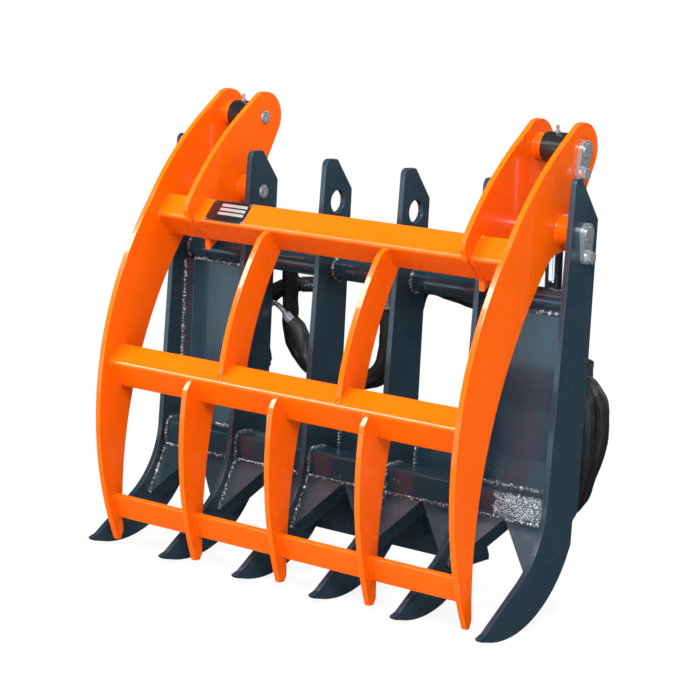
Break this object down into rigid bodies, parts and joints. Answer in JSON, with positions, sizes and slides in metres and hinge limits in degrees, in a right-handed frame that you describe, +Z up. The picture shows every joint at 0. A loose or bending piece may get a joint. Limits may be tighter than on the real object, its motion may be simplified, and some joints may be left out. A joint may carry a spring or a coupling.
{
  "type": "root rake grapple",
  "caption": "Root rake grapple for a small loader: curved rake plates on two cross tubes, with a hinged clamp rake that two hydraulic cylinders open and close.",
  "frame": {"origin": "on the clamp pivot axis, on the centre plane, midway between the open holes of the two middle rake plates", "axes": "+X to the right seen from the front, along the pivot axis; +Y back to the loader, square to the quick attach plate; +Z up along the back edges of the rake plates"},
  "size_m": [0.922, 0.4036, 0.8643],
  "materials": {
    "frame_paint": "satin slate blue-grey paint",
    "clamp_paint": "satin orange paint",
    "zinc": "zinc plated",
    "chrome": "polished chrome",
    "cylinder_paint": "gloss black paint",
    "seal_rubber": "matt rubber"
  },
  "bodies": {
    "frame": {"rake_plate_1": "frame_paint", "rake_plate_2": "frame_paint", "rake_plate_3": "frame_paint", "rake_plate_4": "frame_paint", "rake_plate_5": "frame_paint", "rake_plate_6": "frame_paint", "round_cross_tube": "frame_paint", "square_cross_tube": "frame_paint", "gussets_left_faces": "frame_paint", "gussets_right_faces": "frame_paint", "guard_sheet_left": "frame_paint", "guard_sheet_right": "frame_paint", "quick_attach_plate": "frame_paint", "quick_attach_cheeks": "frame_paint", "cylinder_lugs_left": "frame_paint", "cylinder_lugs_right": "frame_paint", "pivot_pin_left": "zinc", "pivot_pin_right": "zinc", "base_pins": "zinc", "pivot_keeper_bolts": "zinc", "pivot_keeper_washers": "zinc"},
    "clamp": {"clamp_arm_left": "clamp_paint", "clamp_arm_right": "clamp_paint", "clamp_ear_left": "clamp_paint", "clamp_ear_right": "clamp_paint", "upper_beam": "clamp_paint", "middle_beam": "clamp_paint", "upper_tine_left": "clamp_paint", "upper_tine_right": "clamp_paint", "lower_tine_left": "clamp_paint", "lower_tine_middle": "clamp_paint", "lower_tine_right": "clamp_paint", "tie_bars": "clamp_paint", "pivot_bosses": "clamp_paint", "cylinder_bosses": "clamp_paint", "top_pin_left": "zinc", "top_pin_right": "zinc", "top_keeper_bolts": "zinc", "top_keeper_washers": "zinc"},
    "rod_left": {"rod_left": "chrome", "rod_eye_left": "cylinder_paint", "piston_left": "zinc", "piston_nut_left": "zinc", "grease_nipple_left": "zinc"},
    "rod_right": {"rod_right": "chrome", "rod_eye_right": "cylinder_paint", "piston_right": "zinc", "piston_nut_right": "zinc", "grease_nipple_right": "zinc"},
    "barrel_left": {"barrel_left": "cylinder_paint", "gland_left": "cylinder_paint", "rod_seal_left": "seal_rubber"},
    "barrel_right": {"barrel_right": "cylinder_paint", "gland_right": "cylinder_paint", "rod_seal_right": "seal_rubber"}
  },
  "joints": [
    {"name": "clamp_pivot", "type": "hinge", "parent": "frame", "child": "clamp", "pos_m": [0, 0, 0], "axis": [1, 0, 0], "range_deg": [-60, 0]},
    {"name": "rod_pin_left", "type": "hinge", "parent": "clamp", "child": "rod_left", "pos_m": [0, 0.04854, 0.13557], "axis": [1, 0, 0], "range_deg": [0, 50]},
    {"name": "cylinder_slide_left", "type": "slide", "parent": "rod_left", "child": "barrel_left", "axis": [0, -0.0599, 0.9982], "range_m": [0, 0.105]},
    {"name": "rod_pin_right", "type": "hinge", "parent": "clamp", "child": "rod_right", "pos_m": [0, 0.04854, 0.13557], "axis": [1, 0, 0], "range_deg": [0, 50]},
    {"name": "cylinder_slide_right", "type": "slide", "parent": "rod_right", "child": "barrel_right", "axis": [0, -0.0599, 0.9982], "range_m": [0, 0.105]}
  ],
  "couplings": [
    {"joint": "rod_pin_left", "follows": "clamp_pivot", "ratio": -0.806},
    {"joint": "cylinder_slide_left", "follows": "clamp_pivot", "m_per_rad": -0.0957},
    {"joint": "rod_pin_right", "follows": "clamp_pivot", "ratio": -0.806},
    {"joint": "cylinder_slide_right", "follows": "clamp_pivot", "m_per_rad": -0.0957}
  ]
}
